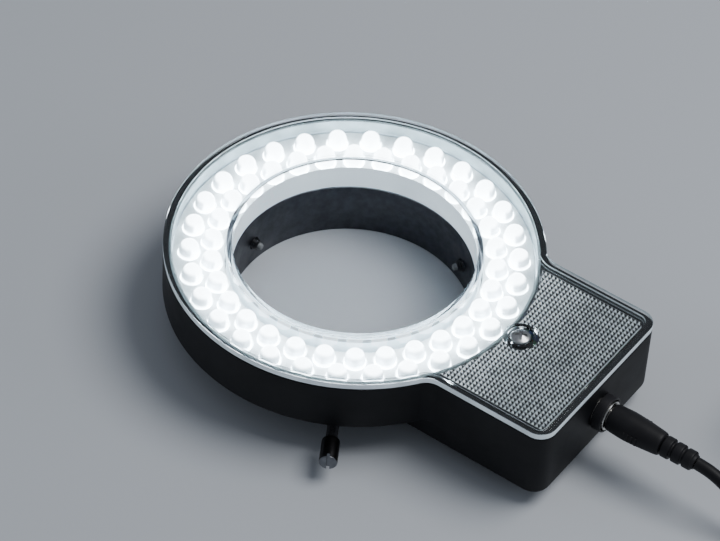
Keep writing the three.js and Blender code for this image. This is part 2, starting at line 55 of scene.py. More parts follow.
RING_CENTRE = Vector(((ring_low.x + ring_high.x) / 2, (ring_low.y + ring_high.y) / 2, 0))


def place_of(node):
    """Lowest and highest corner of a CAD node, in millimetres from the ring's axis."""
    return [(Vector(corner) - RING_CENTRE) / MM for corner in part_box(node)]


def to_frame(point):
    """A point in millimetres from the ring's axis, in the frame's metres."""
    return Vector(point) * MM + RING_CENTRE


# ------------------------------------------------------------------ driving dimensions

housing_low, housing_high = place_of("housing_shell")
cover_low, cover_high = place_of("clear_cover")
board_low, board_high = place_of("led_board")
shaft_low, shaft_high = place_of("dimmer_shaft")
coil_low, coil_high = place_of("lead_coil")
dimmer = (shaft_low + shaft_high) / 2
coil_centre = (coil_low + coil_high) / 2

RING_RADIUS = -housing_low.x
RIM_Z = housing_high.z
COVER_TOP_Z = cover_high.z
BOX_END_X = housing_high.x
BOX_FLOOR_Z = housing_low.z
BOX_HALF_WIDTH = 25.5
BOX_CORNER_RADIUS = 4.5
BOX_THROAT_RADIUS = 37
NECK_FILLET_RADIUS = 5
WALL = 2
RING_FLOOR_Z = 10.4
RING_FLOOR_TOP_Z = 12

COLLAR_BORE_RADIUS = 31
COLLAR_RADIUS = 34.5
COLLAR_TOP_Z = 15.5
COVER_BORE_RADIUS = 30.8
COVER_WALL_RADIUS = 32.2
# Top of the painted glow on the cover's bore wall.
WALL_GLOW_TOP_Z = 22.6
LAMP_ZONE_RADIUS = 47.2     # where the texture over the box begins
OUTSIDE_LEDS = 45           # radius beyond the outer row, used to tell faces apart
COVER_RIM_BOTTOM = RIM_Z + 0.3

COVER_SCREW_X = 50
COVER_SCREW_SEAT = 23.9
SCREW_WELL_RADIUS = 4.4

BOARD_INNER_RADIUS = 32.6
BOARD_OUTER_RADIUS = -board_low.x
LED_COUNT = 30
LED_RADIUS = 2.5
LED_FLANGE_RADIUS = 2.9
LED_SHOULDER_Z = 5.8
LED_TILT = math.radians(8)
LED_ROWS = [("outer", 42.2, 0.0), ("inner", 36.7, 0.5)]      # name, radius, first LED's step
LED_FOOT_Z = 16.25

THUMB_SCREWS = [(-60, 0), (60, 3.6), (180, 3.6)]    # angle, and how far screwed in
THUMB_SCREW_Z = 6.6
THUMB_HEAD_RADIUS = 2.3
THUMB_HEAD_START = 48.6     # along the radius, when screwed out
THUMB_HEAD_END = 56.6
THREAD_RADIUS = 1.5
THREAD_PITCH = 0.5
THREAD_HOLE_RADIUS = 1.8

SOCKET_Z = 14.8
SOCKET_BORE_RADIUS = 3.05

CORD_DIAMETER = 3.3
COIL_COLUMNS = 3
COIL_LAYERS = 4
COIL_RADIUS = 19.4

RING_SEGMENTS = 192
OUTLINE_SEGMENTS = 180
CORNER_SHARE = 0.45         # the most of a side that a rounded corner may take up
SMOOTH_ANGLE = math.radians(32)
BLACK_BELOW = 0.02          # plastics darker than this have the dull sheen of carbon black


# ------------------------------------------------------------------ camera and light

def make_camera():
    """The photograph's long lens, from the front right and above, tilted a little."""
    azimuth, elevation, roll = map(math.radians, (33, 45.46, 3.9))
    distance = 0.9038
    target = to_frame((-7.4, 14.4, 0))
    back = Vector((
        math.sin(azimuth) * math.cos(elevation),
        -math.cos(azimuth) * math.cos(elevation),
        math.sin(elevation),
    ))
    camera = bpy.data.objects.new("camera", bpy.data.cameras.new("camera"))
    camera.data.sensor_width = 36
    camera.data.lens = 175
    camera.rotation_mode = "QUATERNION"
    camera.location = target + back * distance
    camera.rotation_quaternion = back.to_track_quat("Z", "Y") @ Quaternion((0, 0, 1), roll)
    camera.data.clip_start = 0.01
    bpy.context.scene.collection.objects.link(camera)
    bpy.context.scene.camera = camera


def area_light(name, position, target, size, power, color=(1, 1, 1)):
    """A round softbox turned towards a point, in metres and watts."""
    light = bpy.data.lights.new(name, "AREA")
    light.shape = "DISK"
    light.size = size
    light.energy = power
    light.color = color
    lamp = bpy.data.objects.new(name, light)
    lamp.location = position
    direction = Vector(target) - Vector(position)
    lamp.rotation_mode = "QUATERNION"
    lamp.rotation_quaternion = direction.to_track_quat("-Z", "Y")
    bpy.context.scene.collection.objects.link(lamp)


def make_lights():
    """A soft even sky and two softboxes, one overhead and one dim one from the right."""
    world = bpy.data.worlds.new("studio")
    bpy.context.scene.world = world
    world.use_nodes = True
    background = world.node_tree.nodes["Background"]
    background.inputs["Color"].default_value = (0.72, 0.78, 0.88, 1)
    background.inputs["Strength"].default_value = 0.3
    area_light("overhead_softbox", (0.38, 0.28, 0.85), (0, 0, 0), 0.6, 6)
    area_light("side_softbox", (0.8, 0.35, 0.35), (0, 0, 0), 0.4, 0.8, (0.8, 0.88, 1))


def make_floor():
    """A plain pale table."""
    floor_material = plain_material("floor_pale", (0.55, 0.58, 0.62), 0.5)
    mesh = bpy.data.meshes.new("floor")
    half = 2.5
    mesh.from_pydata([(-half, -half, 0), (half, -half, 0), (half, half, 0), (-half, half, 0)],
                     [], [(0, 1, 2, 3)])
    floor = bpy.data.objects.new("floor", mesh)
    floor.data.materials.append(floor_material)
    bpy.context.scene.collection.objects.link(floor)


# ------------------------------------------------------------------ materials

def plain_material(name, color, roughness, metallic=0.0):
    """A Principled surface. The detail of each finish is added by the functions below."""
    material = bpy.data.materials.new(name)
    material.use_nodes = True
    shader = material.node_tree.nodes["Principled BSDF"]
    shader.inputs["Base Color"].default_value = (*color, 1)
    shader.inputs["Roughness"].default_value = roughness
    shader.inputs["Metallic"].default_value = metallic
    return material


def shader_of(material):
    """The material's Principled shader."""
    return material.node_tree.nodes["Principled BSDF"]


def add_noise(material, scale, detail=6.0, stretch=(1, 1, 1)):
    """A noise texture in the frame's own space. Returns its value output."""
    tree = material.node_tree
    coordinates = tree.nodes.new("ShaderNodeTexCoord")
    mapping = tree.nodes.new("ShaderNodeMapping")
    mapping.inputs["Scale"].default_value = stretch
    noise = tree.nodes.new("ShaderNodeTexNoise")
    noise.inputs["Scale"].default_value = scale
    noise.inputs["Detail"].default_value = detail
    tree.links.new(coordinates.outputs["Object"], mapping.inputs["Vector"])
    tree.links.new(mapping.outputs["Vector"], noise.inputs["Vector"])
    return noise.outputs["Fac"]


def vary(material, socket, source, low, high, start=0.3, end=0.7):
    """Drives a number on the shader from low to high as the source goes from start to end."""
    tree = material.node_tree
    ramp = tree.nodes.new("ShaderNodeMapRange")
    ramp.inputs["From Min"].default_value = start
    ramp.inputs["From Max"].default_value = end
    ramp.inputs["To Min"].default_value = low
    ramp.inputs["To Max"].default_value = high
    tree.links.new(source, ramp.inputs["Value"])
    tree.links.new(ramp.outputs["Result"], shader_of(material).inputs[socket])


def vary_color(material, source, first, second, start=0.35, end=0.65):
    """Blends the base colour from first to second as the source goes from start to end."""
    tree = material.node_tree
    ramp = tree.nodes.new("ShaderNodeValToRGB")
    ramp.color_ramp.elements[0].position = start
    ramp.color_ramp.elements[0].color = (*first, 1)
    ramp.color_ramp.elements[1].position = end
    ramp.color_ramp.elements[1].color = (*second, 1)
    tree.links.new(source, ramp.inputs["Fac"])
    tree.links.new(ramp.outputs["Color"], shader_of(material).inputs["Base Color"])


def add_bump(material, source, strength, distance):
    """Raises the surface with the source, by a distance in metres."""
    tree = material.node_tree
    bump = tree.nodes.new("ShaderNodeBump")
    bump.inputs["Strength"].default_value = strength
    bump.inputs["Distance"].default_value = distance
    tree.links.new(source, bump.inputs["Height"])
    tree.links.new(bump.outputs["Normal"], shader_of(material).inputs["Normal"])


def moulded_plastic(name, color, roughness, grain=0.00004):
    """Spark-eroded moulding: a fine even grain, with faint handling marks in the gloss."""
    material = plain_material(name, color, roughness)
    if max(color) < BLACK_BELOW:
        shader_of(material).inputs["Specular IOR Level"].default_value = 0.22
    add_bump(material, add_noise(material, 2600, 3), 0.5, grain)
    smears = add_noise(material, 45, 5)
    vary(material, "Roughness", smears, roughness - 0.06, roughness + 0.1)
    lighter = [channel * 1.5 + 0.0005 for channel in color]
    vary_color(material, add_noise(material, 160, 6), color, lighter)
    return material


def machined_metal(name, color, roughness, stretch=(1, 1, 14)):
    """Fine tool marks, and a gloss that changes a little from place to place."""
    material = plain_material(name, color, roughness, 1.0)
    marks = add_noise(material, 900, 4, stretch)
    add_bump(material, marks, 0.25, 0.00003)
    vary(material, "Roughness", add_noise(material, 220, 5), roughness - 0.06, roughness + 0.12)
    darker = [channel * 0.72 for channel in color]
    vary_color(material, add_noise(material, 500, 5), darker, color)
    return material


def clear_acrylic(name, color, roughness):
    """Clear moulding with real refraction, faintly scuffed."""
    material = plain_material(name, color, roughness)
    shader = shader_of(material)
    shader.inputs["IOR"].default_value = 1.49
    shader.inputs["Transmission Weight"].default_value = 1
    vary(material, "Roughness", add_noise(material, 60, 6), roughness, roughness + 0.06)
    add_bump(material, add_noise(material, 350, 3), 0.08, 0.00002)
    return material


def painted_glow_edge(name, strength, scale):
    """Painted glow: a pale emissive surface standing in for the LEDs' light where it gets out at
    a clear or white edge, a little uneven along it.
    """
    material = plain_material(name, (0.62, 0.69, 0.74), 0.25)
    shader = shader_of(material)
    shader.inputs["Emission Color"].default_value = (0.72, 0.86, 0.96, 1)
    # The painted glow's strength varies in patches along the edge.
    patches = add_noise(material, scale, 5)
    vary(material, "Emission Strength", patches, strength * 0.65, strength * 1.35)
    vary(material, "Roughness", add_noise(material, 400, 4), 0.18, 0.34)
    return material


def painted_glint_facets(name):
    """Clear pyramid pits over the dark box, in painted light: facets facing the box's end and the
    flat ridges get a painted glint of the LEDs' light, the others are painted black as shade, and
    a painted glow of the LEDs' spill fades away from the ring.
    """
    material = plain_material(name, (0.5, 0.55, 0.6), 0.2)
    tree = material.node_tree
    shader = shader_of(material)
    coordinates = tree.nodes.new("ShaderNodeTexCoord")
    facing = tree.nodes.new("ShaderNodeSeparateXYZ")
    place = tree.nodes.new("ShaderNodeSeparateXYZ")
    tree.links.new(coordinates.outputs["Normal"], facing.inputs["Vector"])
    tree.links.new(coordinates.outputs["Object"], place.inputs["Vector"])
    # Painted glint: facets facing the box's end and flat ridges are coloured bright, the rest
    # near black as painted shade.
    towards_end = ranged(tree, facing.outputs["X"], 0.1, 0.5, 0, 0.7)
    ridge = ranged(tree, facing.outputs["Z"], 0.93, 0.99, 0, 0.4)
    grain = ranged(tree, add_noise(material, 420, 4), 0.3, 0.7, -0.1, 0.1)
    flash = added(tree, added(tree, towards_end, ridge), grain)
    shade = tree.nodes.new("ShaderNodeValToRGB")
    shade.color_ramp.elements[0].position = 0.2
    shade.color_ramp.elements[0].color = (0.009, 0.011, 0.014, 1)
    shade.color_ramp.elements[1].position = 0.7
    shade.color_ramp.elements[1].color = (0.9, 0.96, 1, 1)
    tree.links.new(flash, shade.inputs["Fac"])
    tree.links.new(shade.outputs["Color"], shader.inputs["Base Color"])
    tree.links.new(shade.outputs["Color"], shader.inputs["Emission Color"])
    # Painted glow of the LEDs' light, strongest near the ring and fading towards the box's end.
    near_ring = RING_CENTRE.x + 40 * MM
    far_end = RING_CENTRE.x + 62 * MM
    painted_spill_glow = ranged(tree, place.outputs["X"], near_ring, far_end, 0.9, 0.16)
    tree.links.new(painted_spill_glow, shader.inputs["Emission Strength"])
    return material


def led_resin(name, glow, beam):
    """Water-clear epoxy, lit from within: the beam leaves by the tip and the leaning side."""
    material = plain_material(name, (0.9, 0.95, 1.0), 0.08)
    tree = material.node_tree
    shader = shader_of(material)
    shader.inputs["Emission Color"].default_value = (0.86, 0.94, 1.0, 1)
    coordinates = tree.nodes.new("ShaderNodeTexCoord")
    place = tree.nodes.new("ShaderNodeSeparateXYZ")
    facing = tree.nodes.new("ShaderNodeSeparateXYZ")
    tree.links.new(coordinates.outputs["Object"], place.inputs["Vector"])
    tree.links.new(coordinates.outputs["Normal"], facing.inputs["Vector"])
    tip_from, tip_full = 6.4 * MM, 8 * MM
    foot_from, foot_full = 5.1 * MM, 4.5 * MM
    tip = ranged(tree, place.outputs["Z"], tip_from, tip_full, 0, beam)
    foot = ranged(tree, place.outputs["Z"], foot_from, foot_full, 0, beam * 0.6)
    side = ranged(tree, facing.outputs["X"], -0.05, -0.6, 0, beam * 2)
    grain = ranged(tree, add_noise(material, 700, 2), 0.3, 0.7, glow * 0.85, glow * 1.15)
    total = added(tree, added(tree, tip, foot), added(tree, side, grain))
    tree.links.new(total, shader.inputs["Emission Strength"])
    return material


def ranged(tree, source, start, end, low, high):
    """A number that goes smoothly from low to high as the source goes from start to end."""
    ramp = tree.nodes.new("ShaderNodeMapRange")
    ramp.interpolation_type = "SMOOTHSTEP"
    ramp.inputs["From Min"].default_value = start
    ramp.inputs["From Max"].default_value = end
    ramp.inputs["To Min"].default_value = low
    ramp.inputs["To Max"].default_value = high
    tree.links.new(source, ramp.inputs["Value"])
    return ramp.outputs["Result"]


def added(tree, first, second):
    """The sum of two numbers."""
    total = tree.nodes.new("ShaderNodeMath")
    tree.links.new(first, total.inputs[0])
    tree.links.new(second, total.inputs[1])
    return total.outputs["Value"]


def make_materials():
    """A finish for each material slot of the record, and for some pieces' marked faces."""
    made = {
        "housing_black": moulded_plastic("housing_black", (0.0035, 0.0038, 0.005), 0.5),
        "collar_black": machined_metal("collar_black", (0.075, 0.08, 0.092), 0.42, (1, 1, 9)),
        # Painted highlight on the collar's top lip.
        "collar_lip_highlight": machined_metal("collar_lip_highlight", (0.34, 0.36, 0.39), 0.3, (1, 1, 9)),
        "screw_steel": machined_metal("screw_steel", (0.62, 0.63, 0.64), 0.24),
        "cover_clear": clear_acrylic("cover_clear", (0.93, 0.97, 0.98), 0.02),
        # Painted glints, painted shade and a painted glow on the texture's pits.
        "cover_texture": painted_glint_facets("cover_texture"),
        # Painted glow of the LEDs' light on the clear cover's rim faces.
        "cover_edge_painted_glow": painted_glow_edge("cover_edge_painted_glow", 0.25, 120),
        # Painted glow of the LEDs' light on the clear cover's bore wall.
        "cover_wall_painted_glow": painted_glow_edge("cover_wall_painted_glow", 0.62, 45),
        "rib_grey": moulded_plastic("rib_grey", (0.34, 0.41, 0.43), 0.4),
        # Painted glow: the LEDs' light on the black tray's inner wall, as a pale emissive finish.
        "tray_inside_painted_glow": painted_glow_edge("tray_inside_painted_glow", 0.06, 60),
        "board_white": moulded_plastic("board_white", (0.78, 0.8, 0.8), 0.4),
        "led_resin": led_resin("led_resin", 0.85, 15),
        "board_green": moulded_plastic("board_green", (0.02, 0.11, 0.045), 0.35),
        "can_sleeve": moulded_plastic("can_sleeve", (0.02, 0.035, 0.12), 0.3),
        "copper_winding": machined_metal("copper_winding", (0.55, 0.22, 0.08), 0.4, (1, 1, 30)),
        "chip_black": moulded_plastic("chip_black", (0.016, 0.016, 0.017), 0.5),
        "knob_black": moulded_plastic("knob_black", (0.012, 0.012, 0.014), 0.4),
        "thumb_black": machined_metal("thumb_black", (0.035, 0.035, 0.038), 0.34),
        "thumb_end": machined_metal("thumb_end", (0.2, 0.21, 0.23), 0.3),
        "nylon_white": moulded_plastic("nylon_white", (0.16, 0.165, 0.17), 0.5),
        "jack_nickel": machined_metal("jack_nickel", (0.66, 0.65, 0.62), 0.2),
        "wire_red": moulded_plastic("wire_red", (0.32, 0.015, 0.015), 0.4),
        "wire_black": moulded_plastic("wire_black", (0.012, 0.012, 0.012), 0.4),
        "lead_pvc": moulded_plastic("lead_pvc", (0.009, 0.009, 0.0105), 0.46),
        "adapter_black": moulded_plastic("adapter_black", (0.012, 0.012, 0.0135), 0.5),
        "blade_brass": machined_metal("blade_brass", (0.66, 0.62, 0.52), 0.26),
    }
    slots = {row["node"]: row["material_slot"] for row in frame["record"]["subparts"]}
    for name, node in frame["nodes"].items():
        for slot in node.material_slots:
            slot.material = made[slots[name]]
    return made


# ------------------------------------------------------------------ shapes

class Shape:
    """A closed surface: vertices in millimetres from the ring's axis, and faces."""

    def __init__(self, vertices=(), faces=()):
        self.vertices = [Vector(vertex) for vertex in vertices]
        self.faces = [tuple(face) for face in faces]

    def __add__(self, other):
        count = len(self.vertices)
        shifted = [tuple(index + count for index in face) for face in other.faces]
        return Shape(self.vertices + other.vertices, self.faces + shifted)

    def moved(self, matrix):
        return Shape([matrix @ vertex for vertex in self.vertices], self.faces)

    def at(self, x, y, z):
        return self.moved(Matrix.Translation((x, y, z)))


def lofted(loops, closed=False):
    """Loops of equal length joined in order, with flat ends unless the last meets the first."""
    count = len(loops[0])
    vertices = [point for loop in loops for point in loop]
    faces = []
    joins = len(loops) if closed else len(loops) - 1
    for row in range(joins):
        near, far = row * count, (row + 1) % len(loops) * count
        for index in range(count):
            after = (index + 1) % count
            faces.append((near + index, near + after, far + after, far + index))
    if not closed:
        faces.append(tuple(reversed(range(count))))
        faces.append(tuple(range((len(loops) - 1) * count, len(loops) * count)))
    return Shape(vertices, faces)


def rounded(points, radius, steps=4):
    """An open profile whose inner corners are turned into short curves."""
    made = [Vector(points[0])]
    for before, corner, after in zip(points, points[1:], points[2:]):
        before, corner, after = Vector(before), Vector(corner), Vector(after)
        start, end = (
            corner + (other - corner).normalized()
            * min(radius, (other - corner).length * CORNER_SHARE)
            for other in (before, after))
        for step in range(steps + 1):
            share = step / steps
            made.append(start.lerp(corner, share).lerp(corner.lerp(end, share), share))
    made.append(Vector(points[-1]))
    return made


def circle(radius, z, segments):
    """Points of a level circle round the axis."""
    angles = [2 * math.pi * index / segments for index in range(segments)]
    return [(radius * math.cos(angle), radius * math.sin(angle), z) for angle in angles]


def turned(profile, segments=48, closed=False):
    """A solid of revolution about +Z from (radius, z) points, rising up its outside."""
    loops = [circle(max(radius, 0.01), z, segments) for radius, z in profile]
    return lofted(loops, closed)


def rod(radius, z0, z1, segments=48):
    """A plain cylinder."""
    return turned([(radius, z0), (radius, z1)], segments)


def tube(inner, outer, z0, z1, rounding=0.15, segments=48):
    """A round pipe with softened edges."""
    corners = [(outer, z0), (outer, z1), (inner, z1), (inner, z0)]
    ring = [corners[-1], *corners, corners[0]]
    profile = rounded(ring, rounding, 3)[1:-1]
    return turned(profile, segments, closed=True)


def threaded(radius, pitch, z0, z1, segments=24):
    """A screw thread: the surface rises and falls along a helix."""
    rows_per_turn = 8
    rows = int((z1 - z0) / pitch * rows_per_turn)
    depth = pitch * 0.54            # of a metric thread
    loops = []
    for row in range(rows + 1):
        z = z0 + (z1 - z0) * row / rows
        loop = []
        for index in range(segments):
            angle = 2 * math.pi * index / segments
            phase = (z / pitch - index / segments) % 1
            height = radius - depth * abs(2 * phase - 1)
            loop.append((height * math.cos(angle), height * math.sin(angle), z))
        loops.append(loop)
    return lofted(loops)


def arc(x, y, radius, start, end, steps):
    """Points along part of a circle, both ends among them."""
    angles = [start + (end - start) * index / steps for index in range(steps + 1)]
    return [(x + radius * math.cos(angle), y + radius * math.sin(angle)) for angle in angles]


def box_end(inset):
    """The end of the box, from its lower to its upper long side, with rounded corners."""
    radius = max(BOX_CORNER_RADIUS - inset, 0.5)
    x = BOX_END_X - inset - radius
    y = BOX_HALF_WIDTH - inset - radius
    quarter = math.pi / 2
    return arc(x, -y, radius, -quarter, 0, 10) + arc(x, y, radius, 0, quarter, 10)


def light_outline(inset):
    """The whole light seen from above: the ring, the box and the fillets between them."""
    fillet_y = BOX_HALF_WIDTH + NECK_FILLET_RADIUS
    fillet_x = math.sqrt((RING_RADIUS + NECK_FILLET_RADIUS) ** 2 - fillet_y ** 2)
    meeting = math.atan2(fillet_y, fillet_x)
    fillet = arc(fillet_x, fillet_y, NECK_FILLET_RADIUS + inset,
                 -math.pi / 2, meeting - math.pi, 10)
    ring = arc(0, 0, RING_RADIUS - inset, meeting, 2 * math.pi - meeting, OUTLINE_SEGMENTS)
    lower = [(x, -y) for x, y in reversed(fillet)]
    return box_end(inset) + fillet + ring[1:-1] + lower


def box_outline(inset):
    """The deep part of the box below the ring."""
    radius = BOX_THROAT_RADIUS + inset
    half_angle = math.asin((BOX_HALF_WIDTH - inset) / radius)
    return box_end(inset) + arc(0, 0, radius, half_angle, -half_angle, 40)


def stacked(outline, profile):
    """The outline at each (inset, z) of a profile, joined into one solid."""
    return lofted([[(x, y, z) for x, y in outline(inset)] for inset, z in profile])


def block(x0, x1, y0, y1, z0, z1, corner=0.3, edge=0.15):
    """A box with rounded upright corners and softened top and bottom edges."""
    def outline(inset):
        radius = max(corner - inset, 0.02)
        quarter = math.pi / 2
        places = [(x1 - corner, y0 + corner, -1), (x1 - corner, y1 - corner, 0),
                  (x0 + corner, y1 - corner, 1), (x0 + corner, y0 + corner, 2)]
        return [point for x, y, turn in places
                for point in arc(x, y, radius, turn * quarter, (turn + 1) * quarter, 6)]
    profile = rounded([(edge * 2, z0), (0, z0), (0, z1), (edge * 2, z1)], edge, 3)
    return stacked(outline, profile)


def smooth_line(points, steps_each):
    """Catmull-Rom points through the given ones."""
    points = [Vector(point) for point in points]
    padded = [2 * points[0] - points[1], *points, 2 * points[-1] - points[-2]]
    line = []
    for a, b, c, d in zip(padded, padded[1:], padded[2:], padded[3:]):
        for step in range(steps_each):
            t = step / steps_each
            line.append(0.5 * (2 * b + (c - a) * t + (2 * a - 5 * b + 4 * c - d) * t ** 2
                               + (3 * b - a - 3 * c + d) * t ** 3))
    line.append(points[-1])
    return line


def upright_to(axis):
    """Turns +Z onto an axis."""
    return Vector(axis).to_track_quat("Z", "Y").to_matrix().to_4x4()


ALONG_SOCKET = Matrix.Translation((0, 0, SOCKET_Z)) @ upright_to((1, 0, 0))


def as_mesh(name, shape):
    """A Blender mesh of the shape, in the frame's metres."""
    mesh = bpy.data.meshes.new(name)
    mesh.from_pydata([to_frame(vertex) for vertex in shape.vertices], [], shape.faces)
    mesh.validate()
    return mesh


def combined(name, shape, *steps):
    """The shape with others joined to it or cut from it, one after another."""
    base = bpy.data.objects.new(name, as_mesh(name, shape))
    bpy.context.scene.collection.objects.link(base)
    tools = []
    for operation, other in steps:
        tool = bpy.data.objects.new(name + "_tool", as_mesh(name + "_tool", other))
        bpy.context.scene.collection.objects.link(tool)
        modifier = base.modifiers.new(operation, "BOOLEAN")
        modifier.object = tool
        modifier.operation = operation
        modifier.solver = "EXACT"
        tools.append(tool)
    graph = bpy.context.evaluated_depsgraph_get()
    mesh = bpy.data.meshes.new_from_object(base.evaluated_get(graph))
    for unwanted in (base, *tools):
        bpy.data.objects.remove(unwanted)
    return mesh


def piece(name, slot, mesh, body="root", stands_for=()):
    """Puts a shape or mesh in the scene with its finish, its body and its CAD nodes."""
    if isinstance(mesh, Shape):
        mesh = as_mesh(name, mesh)
    mesh.materials.clear()
    mesh.materials.append(materials[slot])
    mesh.shade_smooth()
    mesh.set_sharp_from_angle(angle=SMOOTH_ANGLE)
    made = bpy.data.objects.new(name, mesh)
    bpy.context.scene.collection.objects.link(made)
    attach(made, body)
    if stands_for:
        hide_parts(*stands_for)
    return made


# ------------------------------------------------------------------ housing and cover

def make_housing():
    """One black moulding: a shallow tray under the ring and a deep box beside it."""
    ring_opening, deck_top = 34.8, 11.2
    boss_radius, boss_top = 3.2, 22.5
    socket_hole, dimmer_hole = 4.2, 3.7
    foot = rounded([(1.6, RING_FLOOR_Z), (0, RING_FLOOR_Z), (0, RING_FLOOR_Z + 3)], 0.7)
    top = rounded([(0, RIM_Z - 1), (0, RIM_Z), (1, RIM_Z)], 0.15)
    tray = stacked(light_outline, foot[:-1] + top + [(WALL, RIM_Z), (WALL, RING_FLOOR_TOP_Z)])
    deck = rounded([(2.5, BOX_FLOOR_Z), (0, BOX_FLOOR_Z), (0, deck_top)], 1.1)
    box_floor = BOX_FLOOR_Z + WALL
    boss = rod(boss_radius, box_floor - 0.5, boss_top).at(COVER_SCREW_X, 0, 0)
    mesh = combined(
        "housing", tray,
        ("UNION", stacked(box_outline, deck)),
        ("DIFFERENCE", stacked(box_outline, [(WALL + 0.02, box_floor), (WALL + 0.02, 12.5)])),
        ("DIFFERENCE", rod(ring_opening, 3, 13, OUTLINE_SEGMENTS)),
        ("DIFFERENCE", rod(socket_hole, 70, 76).moved(ALONG_SOCKET)),
        ("DIFFERENCE", rod(dimmer_hole, 3, 8).at(dimmer.x, dimmer.y, 0)),
        ("UNION", boss),
    )
    housing = piece("housing", "housing_black", mesh, stands_for=["housing_shell"])
    housing.data.materials.append(materials["tray_inside_painted_glow"])
    # The tray wall's inward faces round the LEDs get a pale painted glow of the LEDs' light over
    # the black plastic.
    for face in housing.data.polygons:
        centre = (face.center - RING_CENTRE) / MM
        inwards = face.normal.xy.dot(centre.xy) < -0.9 * centre.xy.length
        on_tray = OUTSIDE_LEDS < centre.xy.length < RING_RADIUS - 1
        if inwards and on_tray and centre.z > RING_FLOOR_TOP_Z:
            face.material_index = 1


def make_collar():
    """The black metal sleeve that goes over the objective, and its flange."""
    start = (33, 0)
    neck_radius, flange_radius = 32.3, 38.6
    flange_bottom, flange_top = 12.3, 13.3
    profile = rounded([
        start, (COLLAR_RADIUS, 0), (COLLAR_RADIUS, flange_bottom),
        (flange_radius, flange_bottom), (flange_radius, flange_top), (neck_radius, flange_top),
        (neck_radius, COLLAR_TOP_Z), (COLLAR_BORE_RADIUS, COLLAR_TOP_Z),
        (COLLAR_BORE_RADIUS, 0), start], 0.35, 3)[:-1]
    hole = rod(THREAD_HOLE_RADIUS, 29, 36, 32)
    holes = [("DIFFERENCE", hole.moved(along_radius(angle))) for angle, _ in THUMB_SCREWS]
    mesh = combined("collar", turned(profile, RING_SEGMENTS, closed=True), *holes)
    collar = piece("collar", "collar_black", mesh, stands_for=["mounting_collar"])
    collar.data.materials.append(materials["collar_lip_highlight"])
    # The top lip round the bore gets a lighter metal as a painted highlight.
    for face in collar.data.polygons:
        centre = (face.center - RING_CENTRE) / MM
        if centre.z > COLLAR_TOP_Z - 0.34 and centre.xy.length < COLLAR_BORE_RADIUS + 0.5:
            face.material_index = 1


def make_cover():
    """The clear moulding: raised rim, flat plate, inner wall and screw well."""
    plate_top = COVER_TOP_Z - 0.5
    plate_bottom = plate_top - 1
    rim_bottom = COVER_RIM_BOTTOM
    rim = rounded([(2.2, plate_bottom), (2.2, rim_bottom), (0, rim_bottom), (0, COVER_TOP_Z),
                   (0.85, COVER_TOP_Z)], 0.22, 3)
    step = rounded([(1.2, COVER_TOP_Z), (1.9, COVER_TOP_Z), (1.9, plate_top)], 0.12, 3)
    body = stacked(light_outline, rim + step)
    well_floor = COVER_SCREW_SEAT
    well_bore, screw_hole = 3.3, 1.8
    # The bore's middle row of points lets its faces with painted glow end below the top.
    mesh = combined(
        "cover", body,
        ("UNION", rod(COVER_WALL_RADIUS, cover_low.z, plate_top + 0.25, RING_SEGMENTS)),
        ("DIFFERENCE", turned([(COVER_BORE_RADIUS, 10), (COVER_BORE_RADIUS, WALL_GLOW_TOP_Z),
                               (COVER_BORE_RADIUS, 30)], RING_SEGMENTS)),
        ("UNION", rod(SCREW_WELL_RADIUS, well_floor - 1, plate_top + 0.12)
         .at(COVER_SCREW_X, 0, 0)),
        ("DIFFERENCE", rod(well_bore, well_floor, 30).at(COVER_SCREW_X, 0, 0)),
        ("DIFFERENCE", rod(screw_hole, 10, 30).at(COVER_SCREW_X, 0, 0)),
    )
    cover = piece("cover", "cover_clear", mesh, stands_for=["clear_cover"])
    cover.data.materials.append(materials["cover_edge_painted_glow"])
    cover.data.materials.append(materials["cover_wall_painted_glow"])
    for face in cover.data.polygons:
        centre = (face.center - RING_CENTRE) / MM
        upright = abs(face.normal.z) < 0.6
        outwards = face.normal.xy.dot(centre.xy) > 0.1 * centre.xy.length
        at_screw = math.hypot(centre.x - COVER_SCREW_X, centre.y) < 6
        on_rim = centre.z > RIM_Z and centre.xy.length > OUTSIDE_LEDS and not at_screw
        # The rim's upright outward faces get a painted glow of the LEDs' light.
        if upright and outwards and on_rim:
            face.material_index = 1
        # The bore's faces below WALL_GLOW_TOP_Z get a painted glow of the LEDs' light.
        in_bore = upright and not outwards and centre.xy.length < COVER_BORE_RADIUS + 0.1
        if in_bore and centre.z < WALL_GLOW_TOP_Z:
            face.material_index = 2


